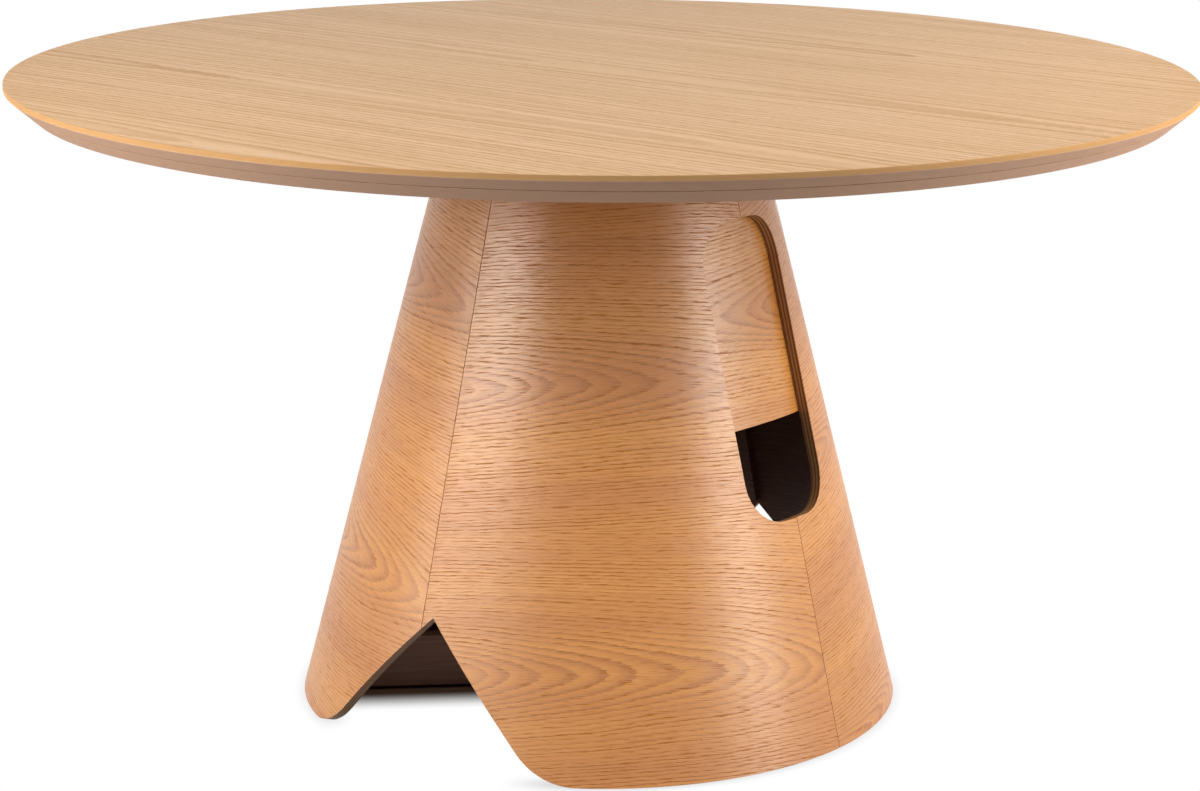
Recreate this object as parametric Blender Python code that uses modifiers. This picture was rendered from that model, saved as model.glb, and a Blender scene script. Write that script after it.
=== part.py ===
"""Round dining table: a bevelled oak top on a cone of four bent plywood panels.

Metres, +Z up. The origin is on the floor under the table's centre. The panels meet on the X and Y
axes: a tall slot straddles the seams at +X and -X, and a V notch is cut at the floor at -Y and +Y.
An azimuth is counted from -Y towards +X. Every bent piece is drawn flat, cut flat, and then wrapped
round the cone, as the real plywood is.
"""

import math

import bmesh
import bpy
from mathutils import Matrix, Vector

# Overall size
TABLE_HEIGHT = 0.750
TOP_DIAMETER = 1.370

# Tabletop: two boards glued face to face, with one bevel under a thin upright lip
UPPER_BOARD = 0.018
LOWER_BOARD = 0.014
TOP_LIP = 0.006
BEVEL_INSET = 0.030
GLUE_LINE = 0.0003

# Cone base, measured on the outer face of its panels
FOOT_DIAMETER = 0.716
NECK_DIAMETER = 0.346
FOOT_LIFT = 0.002
PANEL_WALL = 0.012
SEAM_GAP = 0.0006

# Slot over the +X and -X seams, measured along the slope of the wall
SLOT_DROP = 0.119
SLOT_LENGTH = 0.348
SLOT_WIDTH = 0.143
SLOT_CORNER = 0.052
HAND_OPENING = 0.113

# Notch at the floor near the -Y and +Y seams
NOTCH_HEIGHT = 0.163
NOTCH_ANGLE = math.radians(90.0)
NOTCH_CORNER = 0.087
NOTCH_SHIFT = math.radians(2.7)

# Liner behind each slot, and battens behind the seams
LINER_WALL = 0.009
LINER_OVERLAP = 0.028
BATTEN_WALL = 0.009
BATTEN_WIDTH = 0.040
BATTEN_MARGIN = 0.008

# Cap in the neck, and the cleats that hold it
CAP_THICKNESS = 0.025
CLEAT_HEIGHT = 0.034
CLEAT_DEPTH = 0.030
CLEAT_LENGTH = 0.150
CLEAT_SCREW_SPACING = 0.080
CLEAT_SCREW_BITE = 0.014

# Bolted joint between the cap and the tabletop
BOLT_COUNT = 6
BOLT_DIAMETER = 0.008
BOLT_HEAD_DIAMETER = 0.020
BOLT_HEAD_HEIGHT = 0.003
BOLT_HEAD_MARGIN = 0.014
BOLT_END_GAP = 0.001
INSERT_DIAMETER = 0.012
INSERT_COVER = 0.003

# Floor braces and the blocks that house their ends
BRACE_THICKNESS = 0.018
BRACE_LIFT = 0.004
BRACE_HEIGHT = 0.064
BLOCK_WIDTH = 0.084
BLOCK_HEIGHT = 0.056
BLOCK_DEPTH = 0.045
BLOCK_WEB = 0.012
BLOCK_RECESS = 0.004
BLOCK_SCREW_EDGE = 0.014

# Nail-in glides
GLIDE_DIAMETER = 0.022
GLIDE_CHAMFER = 0.0015
GLIDE_PIN_DIAMETER = 0.005
GLIDE_PIN_LENGTH = 0.016

# Wood screws
SCREW_DIAMETER = 0.0045
SCREW_HEAD_DIAMETER = 0.009
SCREW_HEAD_HEIGHT = 0.0028
SCREW_HEAD_SINK = 0.0008
SCREW_SKIN = 0.004

# Fits and facets
SEAT_GAP = 0.0003
BOLT_CLEARANCE = 0.0004
BLANK_MARGIN = 0.020
FACET = math.radians(3.0)
TOP_STEPS = 180
CORNER_STEPS = 8
NOTCH_CORNER_STEPS = 12
FASTENER_STEPS = 12
GLIDE_STEPS = 24
WELD = 1e-6
FLAT_ANGLE = math.radians(0.3)
SMOOTH_ANGLE = math.radians(30.0)

# What follows from the sizes above
QUARTER = math.pi / 2.0
TOP_RADIUS = TOP_DIAMETER / 2.0
TOP_UNDERSIDE = TABLE_HEIGHT - UPPER_BOARD - LOWER_BOARD
NECK_Z = TOP_UNDERSIDE - SEAT_GAP
TAPER = (FOOT_DIAMETER - NECK_DIAMETER) / 2.0 / (NECK_Z - FOOT_LIFT)
WALL_ANGLE = math.atan(TAPER)
WALL_SIN = math.sin(WALL_ANGLE)
WALL_COS = math.cos(WALL_ANGLE)
APEX_Z = FOOT_LIFT + FOOT_DIAMETER / 2.0 / TAPER
INSIDE = PANEL_WALL + SEAT_GAP
THROUGH_CUT = 3.0 * PANEL_WALL
CAP_UNDERSIDE = NECK_Z - CAP_THICKNESS
CLEAT_TOP = CAP_UNDERSIDE - SEAT_GAP
CLEAT_LOW = CLEAT_TOP - CLEAT_HEIGHT
BLOCK_LOW = FOOT_LIFT + BLOCK_RECESS
BLOCK_TOP = BLOCK_LOW + BLOCK_HEIGHT
NOTCH_Z = FOOT_LIFT + NOTCH_HEIGHT
INSERT_LENGTH = LOWER_BOARD - INSERT_COVER

# Azimuths of each panel's centre, its notch and its slot
FRONT_NOTCH = NOTCH_SHIFT
REAR_NOTCH = 2.0 * QUARTER - NOTCH_SHIFT
PANELS = {
    "front": (0.5 * QUARTER, FRONT_NOTCH, QUARTER),
    "right": (1.5 * QUARTER, REAR_NOTCH, QUARTER),
    "rear": (2.5 * QUARTER, REAR_NOTCH, 3.0 * QUARTER),
    "left": (3.5 * QUARTER, 4.0 * QUARTER + FRONT_NOTCH, 3.0 * QUARTER),
}
SLOT_SEAMS = {"right": QUARTER, "left": 3.0 * QUARTER}
NOTCH_SEAMS = {"front": 0.0, "rear": 2.0 * QUARTER}


def cone_radius(z, depth=0.0):
    """Radius of the cone at a height, on the face that lies this deep inside the outer face."""
    return (APEX_Z - z) * TAPER - depth / WALL_COS


def slant(z):
    """Distance from the cone's apex down its outer face to a height."""
    return (APEX_Z - z) / WALL_COS


def azimuth_vector(azimuth):
    """Level unit vector that points outwards at an azimuth."""
    return Vector((math.sin(azimuth), -math.cos(azimuth), 0.0))


def arc(centre, radius, start, end, steps):
    """Points of an arc in the plane, both ends included."""
    angles = [start + (end - start) * i / steps for i in range(steps + 1)]
    return [(centre[0] + radius * math.cos(a), centre[1] + radius * math.sin(a)) for a in angles]


def clear_scene():
    """Remove every object that the file opened with."""
    for obj in list(bpy.data.objects):
        bpy.data.objects.remove(obj, do_unlink=True)


def new_collection(name):
    """New collection in the scene."""
    collection = bpy.data.collections.new(name)
    bpy.context.scene.collection.children.link(collection)
    return collection


def place(name, data, collection):
    """New object in a collection; one among the cutters is hidden from renders."""
    obj = bpy.data.objects.new(name, data)
    collection.objects.link(obj)
    if collection is CUTTERS:
        obj.hide_render = True
        obj.display_type = "WIRE"
    return obj


def finish(name, rgb, roughness, metallic=0.0):
    """Principled material with one colour."""
    material = bpy.data.materials.new(name)
    material.use_nodes = True
    shader = material.node_tree.nodes["Principled BSDF"]
    shader.inputs["Base Color"].default_value = (*rgb, 1.0)
    shader.inputs["Roughness"].default_value = roughness
    shader.inputs["Metallic"].default_value = metallic
    return material


def dress(obj, material):
    """Give an object its material and smooth its round faces."""
    obj.data.materials.append(material)
    obj.data.shade_smooth()
    obj.data.set_sharp_from_angle(angle=SMOOTH_ANGLE)
    return obj


def evaluated_mesh(obj):
    """Mesh of an object with its modifiers applied."""
    return bpy.data.meshes.new_from_object(obj.evaluated_get(bpy.context.evaluated_depsgraph_get()))


def flat_board(name, outline, thickness, collection):
    """Board cut from a flat outline, with its outer face on Z = 0 and its back below."""
    curve = bpy.data.curves.new(name, "CURVE")
    curve.dimensions = "2D"
    curve.fill_mode = "BOTH"
    curve.extrude = thickness / 2.0
    spline = curve.splines.new("POLY")
    spline.points.add(len(outline) - 1)
    for point, (x, y) in zip(spline.points, outline):
        point.co = (x, y, 0.0, 1.0)
    spline.use_cyclic_u = True
    drawing = place(name + "_drawing", curve, CUTTERS)
    mesh = evaluated_mesh(drawing)
    bpy.data.objects.remove(drawing, do_unlink=True)
    mesh.name = name
    bm = bmesh.new()
    bm.from_mesh(mesh)
    bmesh.ops.remove_doubles(bm, verts=bm.verts, dist=WELD)
    bmesh.ops.translate(bm, verts=bm.verts, vec=(0.0, 0.0, -thickness / 2.0))
    bmesh.ops.recalc_face_normals(bm, faces=bm.faces)
    bm.to_mesh(mesh)
    bm.free()
    return place(name, mesh, collection)


def turned(name, profile, steps, collection):
    """Turned piece: a profile of (radius, height) points, top to bottom, spun about Z."""
    mesh = bpy.data.meshes.new(name)
    closed = profile[0][0] > 0.0
    edges = [(i, i + 1) for i in range(len(profile) - 1)]
    if closed:
        edges.append((len(profile) - 1, 0))
    mesh.from_pydata([(r, 0.0, z) for r, z in profile], edges, [])
    obj = place(name, mesh, collection)
    screw = obj.modifiers.new("Turn", "SCREW")
    screw.axis = "Z"
    screw.angle = 2.0 * math.pi
    screw.steps = steps
    screw.render_steps = steps
    screw.use_merge_vertices = True
    screw.merge_threshold = WELD
    return obj


def turned_set(names, profile, places, material):
    """Equal turned fasteners, one for each name and matrix."""
    for name, matrix in zip(names, places):
        piece = turned(name, profile, FASTENER_STEPS, TABLE)
        piece.matrix_world = matrix
        dress(piece, material)


def hole_cutter(name, profile, places):
    """One cutter of equal turned holes, one at each matrix."""
    pattern = turned(name + "_pattern", profile, FASTENER_STEPS, CUTTERS)
    mesh = evaluated_mesh(pattern)
    bpy.data.objects.remove(pattern, do_unlink=True)
    mesh.name = name
    bm = bmesh.new()
    for matrix in places:
        first = len(bm.verts)
        bm.from_mesh(mesh)
        bm.verts.ensure_lookup_table()
        bmesh.ops.transform(bm, matrix=matrix, verts=bm.verts[first:])
    bm.to_mesh(mesh)
    bm.free()
    return place(name, mesh, CUTTERS)


def cut(obj, *cutters):
    """Take cutters out of an object with Boolean modifiers."""
    for cutter in cutters:
        boolean = obj.modifiers.new("Cut " + cutter.name, "BOOLEAN")
        boolean.operation = "DIFFERENCE"
        boolean.object = cutter
    return obj


def trim_level(bm, z, keep):
    """Cut a mesh level at a height, keep the side that keep (1 above, -1 below) names, and close it."""
    geometry = bm.verts[:] + bm.edges[:] + bm.faces[:]
    bmesh.ops.bisect_plane(
        bm, geom=geometry, dist=WELD, plane_co=(0.0, 0.0, z), plane_no=(0.0, 0.0, -keep), clear_outer=True)
    bmesh.ops.holes_fill(bm, edges=[edge for edge in bm.edges if edge.is_boundary], sides=0)


def wrap(name, blank, azimuth, depth, low=None, high=None):
    """Wrap a flat blank round the cone and trim it level.

    The blank is scored along the cone's generators, which stay straight, so that the strips between
    them stay flat. Its middle comes to the azimuth, and its face to the depth inside the outer face.
    """
    mesh = evaluated_mesh(blank)
    bpy.data.objects.remove(blank, do_unlink=True)
    mesh.name = name
    bm = bmesh.new()
    bm.from_mesh(mesh)
    bmesh.ops.dissolve_limit(bm, angle_limit=FLAT_ANGLE, verts=bm.verts, edges=bm.edges)
    reach = max(abs(math.atan2(vert.co.x, -vert.co.y)) for vert in bm.verts) / WALL_SIN
    count = math.ceil(reach / FACET)
    for i in range(-count, count + 1):
        angle = i * FACET * WALL_SIN
        bmesh.ops.bisect_plane(
            bm, geom=bm.verts[:] + bm.edges[:] + bm.faces[:], dist=WELD,
            plane_co=(0.0, 0.0, 0.0), plane_no=(math.cos(angle), math.sin(angle), 0.0))
    for vert in bm.verts:
        along = math.hypot(vert.co.x, vert.co.y)
        turn = azimuth + math.atan2(vert.co.x, -vert.co.y) / WALL_SIN
        inwards = depth - vert.co.z
        radius = along * WALL_SIN - inwards * WALL_COS
        height = APEX_Z - along * WALL_COS - inwards * WALL_SIN
        vert.co = azimuth_vector(turn) * radius + Vector((0.0, 0.0, height))
    if low is not None:
        trim_level(bm, low, 1.0)
    if high is not None:
        trim_level(bm, high, -1.0)
    bmesh.ops.recalc_face_normals(bm, faces=bm.faces)
    if bm.calc_volume(signed=True) < 0.0:
        bmesh.ops.reverse_faces(bm, faces=bm.faces)
    bm.to_mesh(mesh)
    bm.free()
    return place(name, mesh, TABLE)


def strip_outline(width, upper, lower):
    """Flat strip along a generator, between two distances from the apex."""
    half = width / 2.0
    return [(-half, -upper), (half, -upper), (half, -lower), (-half, -lower)]


def wall_matrix(azimuth, z, depth):
    """Frame on the wall: its origin this deep inside the outer face at a height, +Z square out."""
    level = azimuth_vector(azimuth)
    out = level * WALL_COS + Vector((0.0, 0.0, WALL_SIN))
    across = Vector((math.cos(azimuth), math.sin(azimuth), 0.0))
    up = out.cross(across)
    origin = level * cone_radius(z) + Vector((0.0, 0.0, z)) - out * depth
    frame = Matrix((across, up, out)).transposed().to_4x4()
    frame.translation = origin
    return frame


def tabletop():
    """Upper and lower boards, turned, with one bevel across both."""
    def bevel_radius(drop):
        slope = BEVEL_INSET / (UPPER_BOARD + LOWER_BOARD - TOP_LIP)
        return TOP_RADIUS - slope * (drop - TOP_LIP)

    joint = TABLE_HEIGHT - UPPER_BOARD
    upper = turned("tabletop_upper_board", [
        (0.0, TABLE_HEIGHT), (TOP_RADIUS, TABLE_HEIGHT), (TOP_RADIUS, TABLE_HEIGHT - TOP_LIP),
        (bevel_radius(UPPER_BOARD), joint), (0.0, joint)], TOP_STEPS, TABLE)
    lower = turned("tabletop_lower_board", [
        (0.0, joint - GLUE_LINE), (bevel_radius(UPPER_BOARD + GLUE_LINE), joint - GLUE_LINE),
        (TOP_RADIUS - BEVEL_INSET, TOP_UNDERSIDE), (0.0, TOP_UNDERSIDE)], TOP_STEPS, TABLE)
    dress(upper, OAK_TOP)
    dress(lower, OAK_TOP)
    return lower


def panel_blank(name):
    """Flat sheet for one panel, wider than its neck and foot trims, with its seam edges cut true."""
    half = 0.5 * QUARTER * WALL_SIN
    generator = Vector((math.sin(half), -math.cos(half)))
    inset = Vector((-math.cos(half), -math.sin(half))) * (SEAM_GAP / 2.0)
    upper = generator * (slant(NECK_Z) - PANEL_WALL * TAPER - BLANK_MARGIN) + inset
    lower = generator * ((slant(FOOT_LIFT) + BLANK_MARGIN) / math.cos(half)) + inset
    outline = [(-upper.x, upper.y), tuple(upper), tuple(lower), (-lower.x, lower.y)]
    return flat_board(name, outline, PANEL_WALL, CUTTERS)


def slot_outline():
    """Rounded slot along a generator."""
    reach = SLOT_WIDTH / 2.0 - SLOT_CORNER
    top = -(slant(NECK_Z) + SLOT_DROP) - SLOT_CORNER
    low = -(slant(NECK_Z) + SLOT_DROP + SLOT_LENGTH) + SLOT_CORNER
    corners = [(reach, top), (-reach, top), (-reach, low), (reach, low)]
    points = []
    for i, corner in enumerate(corners):
        points += arc(corner, SLOT_CORNER, i * QUARTER, (i + 1) * QUARTER, CORNER_STEPS)
    return points


def notch_outline():
    """V notch about a generator, its arms rounded into the floor edge of the panels."""
    half = NOTCH_ANGLE / 2.0
    foot = slant(FOOT_LIFT)
    apex = Vector((0.0, slant(NOTCH_Z)))
    arm = Vector((math.sin(half), math.cos(half)))
    to_lobe = Vector((math.cos(half), -math.sin(half)))
    start = apex + to_lobe * NOTCH_CORNER
    inner = foot - NOTCH_CORNER
    run = -start.dot(arm) + math.sqrt(start.dot(arm) ** 2 - start.length_squared + inner ** 2)
    centre = start + arm * run
    first = math.atan2(-to_lobe.y, -to_lobe.x)
    last = math.atan2(centre.y, centre.x)
    side = arc(centre, NOTCH_CORNER, first, last, NOTCH_CORNER_STEPS)
    below = centre.normalized() * (foot + 2.0 * BLANK_MARGIN) / math.cos(0.5 * QUARTER * WALL_SIN)
    side.append(tuple(below))
    right = [(x, -y) for x, y in side]
    left = [(-x, y) for x, y in reversed(right)]
    return [(0.0, -apex.y)] + right + left


def flat_cutter(name, outline, angle):
    """Cutter that stands out of both faces of a flat sheet, turned about the flat pattern's apex."""
    cutter = flat_board(name, outline, THROUGH_CUT, CUTTERS)
    cutter.location.z = PANEL_WALL
    cutter.rotation_euler.z = angle
    return cutter


def panels():
    """Four quarter panels of the cone, each with half of a slot and its share of a notch."""
    for side, (centre, notch, slot) in PANELS.items():
        blank = panel_blank(side + "_blank")
        slot_cutter = flat_cutter(side + "_slot_cutter", slot_outline(), (slot - centre) * WALL_SIN)
        notch_cutter = flat_cutter(side + "_notch_cutter", notch_outline(), (notch - centre) * WALL_SIN)
        cut(blank, slot_cutter, notch_cutter)
        panel = wrap(side + "_panel", blank, centre, 0.0, FOOT_LIFT, NECK_Z)
        bpy.data.objects.remove(slot_cutter, do_unlink=True)
        bpy.data.objects.remove(notch_cutter, do_unlink=True)
        dress(panel, OAK_PANEL)


def liners():
    """Oak-faced liner behind each slot, which leaves a hand opening at the slot's lower end."""
    upper = slant(NECK_Z) + SLOT_DROP - LINER_OVERLAP
    lower = slant(NECK_Z) + SLOT_DROP + SLOT_LENGTH - HAND_OPENING
    outline = strip_outline(SLOT_WIDTH + 2.0 * LINER_OVERLAP, upper, lower)
    for side, azimuth in SLOT_SEAMS.items():
        blank = flat_board(side + "_liner_blank", outline, LINER_WALL, CUTTERS)
        dress(wrap(side + "_slot_liner", blank, azimuth, INSIDE), OAK_LINER)


def battens():
    """Battens behind the seams: above each notch, and below each slot."""
    slot_end = slant(NECK_Z) + SLOT_DROP + SLOT_LENGTH
    above_notch = (slant(CLEAT_LOW - BATTEN_MARGIN), slant(NOTCH_Z + BATTEN_MARGIN))
    below_slot = (slot_end + BATTEN_MARGIN, slant(FOOT_LIFT + BATTEN_MARGIN))
    for (upper, lower), seams in ((above_notch, NOTCH_SEAMS), (below_slot, SLOT_SEAMS)):
        outline = strip_outline(BATTEN_WIDTH, upper, lower)
        for side, azimuth in seams.items():
            blank = flat_board(side + "_batten_blank", outline, BATTEN_WALL, CUTTERS)
            dress(wrap(side + "_seam_batten", blank, azimuth, INSIDE), DARK_PLY)


def level_strip(name, width, low, high, thickness, azimuth):
    """Curved piece against the inside of the wall, with level upper and lower faces."""
    deepest = (INSIDE + thickness) * TAPER
    outline = strip_outline(width, slant(high) - deepest - BLANK_MARGIN, slant(low) + BLANK_MARGIN)
    blank = flat_board(name + "_blank", outline, thickness, CUTTERS)
    return wrap(name, blank, azimuth, INSIDE, low, high)


def screw_profile(length):
    """Countersunk wood screw, tip up, with its head's face on height 0."""
    shank = SCREW_DIAMETER / 2.0
    return [(0.0, length), (shank, length - SCREW_DIAMETER), (shank, SCREW_HEAD_HEIGHT),
            (SCREW_HEAD_DIAMETER / 2.0, 0.0), (0.0, 0.0)]


def screw_hole_profile(length):
    """Hole for that screw, with the countersink run out past the face that it is driven into."""
    shank = SCREW_DIAMETER / 2.0 + SEAT_GAP
    head = SCREW_HEAD_DIAMETER / 2.0 + SEAT_GAP
    return [(0.0, length + SEAT_GAP), (shank, length + SEAT_GAP), (shank, SCREW_HEAD_HEIGHT + SEAT_GAP),
            (head, 0.0), (head, -SCREW_HEAD_DIAMETER), (0.0, -SCREW_HEAD_DIAMETER)]


def screws(kind, length, places, held):
    """A pair of screws for each panel, with holes cut into every piece that they hold."""
    names = [side + kind + end for side in PANELS for end in ("_a", "_b")]
    turned_set(names, screw_profile(length), places, STEEL)
    holes = hole_cutter(kind.strip("_") + "_holes", screw_hole_profile(length), places)
    for obj in held:
        cut(obj, holes)


def cap_and_cleats():
    """Cap in the neck, and a curved cleat under it on each panel, screwed up into the cap."""
    mesh = bpy.data.meshes.new("base_cap")
    bm = bmesh.new()
    bmesh.ops.create_cone(
        bm, cap_ends=True, segments=round(4.0 * QUARTER / FACET), depth=CAP_THICKNESS,
        radius1=cone_radius(CAP_UNDERSIDE, INSIDE), radius2=cone_radius(NECK_Z, INSIDE),
        matrix=Matrix.Translation((0.0, 0.0, NECK_Z - CAP_THICKNESS / 2.0)))
    bm.to_mesh(mesh)
    bm.free()
    cap = dress(place("base_cap", mesh, TABLE), PLY)

    cleats = []
    places = []
    radius = cone_radius(CLEAT_LOW, INSIDE + CLEAT_DEPTH / 2.0)
    step = CLEAT_SCREW_SPACING / 2.0 / radius
    for side, (centre, _, _) in PANELS.items():
        cleat = level_strip(side + "_cap_cleat", CLEAT_LENGTH, CLEAT_LOW, CLEAT_TOP, CLEAT_DEPTH, centre)
        cleats.append(dress(cleat, DARK_PLY))
        for azimuth in (centre - step, centre + step):
            foot = azimuth_vector(azimuth) * radius + Vector((0.0, 0.0, CLEAT_LOW + SCREW_HEAD_SINK))
            places.append(Matrix.Translation(foot))
    length = CLEAT_HEIGHT - SCREW_HEAD_SINK + SEAT_GAP + CLEAT_SCREW_BITE
    screws("_cleat_screw", length, places, cleats + [cap])
    return cap


def bolted_joint(cap, lower_board):
    """Connector bolts up through the cap into threaded inserts in the lower board."""
    cleat_inside = cone_radius(CLEAT_TOP, INSIDE + CLEAT_DEPTH)
    circle = cleat_inside - BOLT_HEAD_MARGIN - BOLT_HEAD_DIAMETER / 2.0
    turns = [4.0 * QUARTER * (i + 0.5) / BOLT_COUNT for i in range(BOLT_COUNT)]
    places = [Matrix.Translation(azimuth_vector(turn) * circle) for turn in turns]

    shank = BOLT_DIAMETER / 2.0
    bore = shank + BOLT_CLEARANCE
    insert = INSERT_DIAMETER / 2.0
    insert_top = TOP_UNDERSIDE + INSERT_LENGTH
    head_top = CAP_UNDERSIDE - SEAT_GAP
    head_low = head_top - BOLT_HEAD_HEIGHT

    numbers = range(1, BOLT_COUNT + 1)
    turned_set([f"threaded_insert_{i}" for i in numbers], [
        (insert, insert_top), (insert, TOP_UNDERSIDE), (bore, TOP_UNDERSIDE), (bore, insert_top)],
        places, STEEL)
    turned_set([f"top_bolt_{i}" for i in numbers], [
        (0.0, insert_top - BOLT_END_GAP), (shank, insert_top - BOLT_END_GAP), (shank, head_top),
        (BOLT_HEAD_DIAMETER / 2.0, head_top), (BOLT_HEAD_DIAMETER / 2.0, head_low), (0.0, head_low)],
        places, STEEL)

    pocket = insert + SEAT_GAP
    pocket_low = TOP_UNDERSIDE - LOWER_BOARD
    pocket_top = insert_top + SEAT_GAP
    pockets = hole_cutter("insert_pockets", [
        (0.0, pocket_top), (pocket, pocket_top), (pocket, pocket_low), (0.0, pocket_low)], places)
    holes = hole_cutter("bolt_holes", [
        (0.0, insert_top), (bore, insert_top), (bore, head_low), (0.0, head_low)], places)
    cut(lower_board, pockets)
    cut(cap, holes)


def brace_outline(low, high, slack):
    """Side view of a floor brace: its ends follow the slope of the wall."""
    depth = INSIDE + BLOCK_WEB + SEAT_GAP - slack
    return [(-cone_radius(low, depth), low), (cone_radius(low, depth), low),
            (cone_radius(high, depth), high), (-cone_radius(high, depth), high)]


def lap_outline(outline, lap_from_top):
    """The same side view with half of a cross lap let into its middle."""
    half = BRACE_THICKNESS / 2.0 + SEAT_GAP
    middle = BRACE_LIFT + BRACE_HEIGHT / 2.0
    if lap_from_top:
        depth = middle - SEAT_GAP / 2.0
        high = outline[2][1]
        return outline[:3] + [(half, high), (half, depth), (-half, depth), (-half, high)] + outline[3:]
    depth = middle + SEAT_GAP / 2.0
    low = outline[0][1]
    return outline[:1] + [(-half, low), (-half, depth), (half, depth), (half, low)] + outline[1:]


def stand_brace(name, outline, thickness, azimuth, collection):
    """Board cut from a side view and stood on edge through the centre, along an azimuth."""
    board = flat_board(name, outline, thickness, collection)
    board.matrix_world = (
        Matrix.Rotation(azimuth - QUARTER, 4, "Z") @ Matrix.Rotation(QUARTER, 4, "X")
        @ Matrix.Translation((0.0, 0.0, thickness / 2.0)))
    return board


def floor_braces():
    """Two cross-lapped braces; the cutters returned make the housings for their ends."""
    outline = brace_outline(BRACE_LIFT, BRACE_LIFT + BRACE_HEIGHT, 0.0)
    housing = brace_outline(-BLOCK_HEIGHT, BLOCK_TOP + BRACE_HEIGHT, SEAT_GAP)
    width = BRACE_THICKNESS + 2.0 * SEAT_GAP
    cutters = {}
    for name, from_top, sides in (("lower", True, ("front", "rear")), ("upper", False, ("right", "left"))):
        azimuth = PANELS[sides[0]][0]
        lapped = lap_outline(outline, from_top)
        dress(stand_brace(name + "_floor_brace", lapped, BRACE_THICKNESS, azimuth, TABLE), DARK_PLY)
        cutter = stand_brace(name + "_housing_cutter", housing, width, azimuth, CUTTERS)
        for side in sides:
            cutters[side] = cutter
    return cutters


def foot_blocks(housings):
    """A block on each panel's foot: it houses a brace's end, and stands on two glides."""
    middle = cone_radius(BLOCK_LOW, INSIDE + BLOCK_DEPTH / 2.0)
    flank = middle * BLOCK_WIDTH / 2.0 / cone_radius(BLOCK_LOW)
    ear = (BRACE_THICKNESS / 2.0 + flank) / 2.0
    glide_top = BLOCK_LOW - SEAT_GAP
    pin = GLIDE_PIN_DIAMETER / 2.0
    disc = GLIDE_DIAMETER / 2.0
    glide_profile = [
        (0.0, glide_top + GLIDE_PIN_LENGTH), (pin, glide_top + GLIDE_PIN_LENGTH), (pin, glide_top),
        (disc, glide_top), (disc, GLIDE_CHAMFER), (disc - GLIDE_CHAMFER, 0.0), (0.0, 0.0)]
    hole_top = glide_top + GLIDE_PIN_LENGTH + SEAT_GAP
    pin_hole = [(0.0, hole_top), (pin + SEAT_GAP, hole_top), (pin + SEAT_GAP, 0.0), (0.0, 0.0)]

    head_depth = INSIDE + BLOCK_DEPTH - SCREW_HEAD_SINK
    held = []
    screw_places = []
    glide_places = []
    for side, (centre, _, _) in PANELS.items():
        block = level_strip(side + "_foot_block", BLOCK_WIDTH, BLOCK_LOW, BLOCK_TOP, BLOCK_DEPTH, centre)
        cut(dress(block, DARK_PLY), housings[side])
        held += [block, bpy.data.objects[side + "_panel"]]
        across = Vector((math.cos(centre), math.sin(centre), 0.0))
        for end, sign in (("a", -1.0), ("b", 1.0)):
            spot = Matrix.Translation(azimuth_vector(centre) * middle + across * ear * sign)
            glide_places.append(spot)
            glide = turned(side + "_glide_" + end, glide_profile, GLIDE_STEPS, TABLE)
            glide.matrix_world = spot
            dress(glide, NYLON)
            azimuth = centre + sign * math.atan2(ear, middle)
            screw_places.append(wall_matrix(azimuth, BLOCK_TOP - BLOCK_SCREW_EDGE, head_depth))
    pins = hole_cutter("glide_pin_holes", pin_hole, glide_places)
    for block in held[::2]:
        cut(block, pins)
    screws("_block_screw", head_depth - SCREW_SKIN, screw_places, held)


clear_scene()
TABLE = new_collection("round_dining_table")
CUTTERS = new_collection("cutters")
OAK_TOP = finish("oak_tabletop", (0.74, 0.47, 0.29), 0.42)
OAK_PANEL = finish("oak_bent_panel", (0.62, 0.32, 0.15), 0.40)
OAK_LINER = finish("oak_slot_liner", (0.66, 0.36, 0.18), 0.42)
DARK_PLY = finish("dark_stained_plywood", (0.035, 0.018, 0.012), 0.60)
PLY = finish("raw_plywood", (0.50, 0.34, 0.20), 0.60)
STEEL = finish("zinc_plated_steel", (0.60, 0.60, 0.62), 0.35, 1.0)
NYLON = finish("black_nylon", (0.02, 0.02, 0.02), 0.50)

lower_board = tabletop()
panels()
liners()
battens()
base_cap = cap_and_cleats()
bolted_joint(base_cap, lower_board)
foot_blocks(floor_braces())
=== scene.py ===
"""Looks of a round dining table: a bevelled oak top on a cone of four bent plywood panels.

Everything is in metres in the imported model's frame: +Z is up, the origin lies on the floor under the
table's centre, and an azimuth is counted from -Y towards +X. The tabletop's boards, the screws and the
bolts are turned again from their nodes' own measurements, and the bent and sawn pieces are eased copies
of their nodes. The oak and the stained pieces carry their grain in a UV map in metres, along it and
across it.
"""

import logging
import math
from dataclasses import dataclass, replace
from enum import Enum
from typing import Callable, Sequence, Union

import bmesh
import bpy
from bmesh.types import BMEdge, BMesh, BMLoop
from bpy.types import ID, Material, Mesh, Node, NodeSocket, NodeTree, Object
from mathutils import Matrix, Vector


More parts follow.
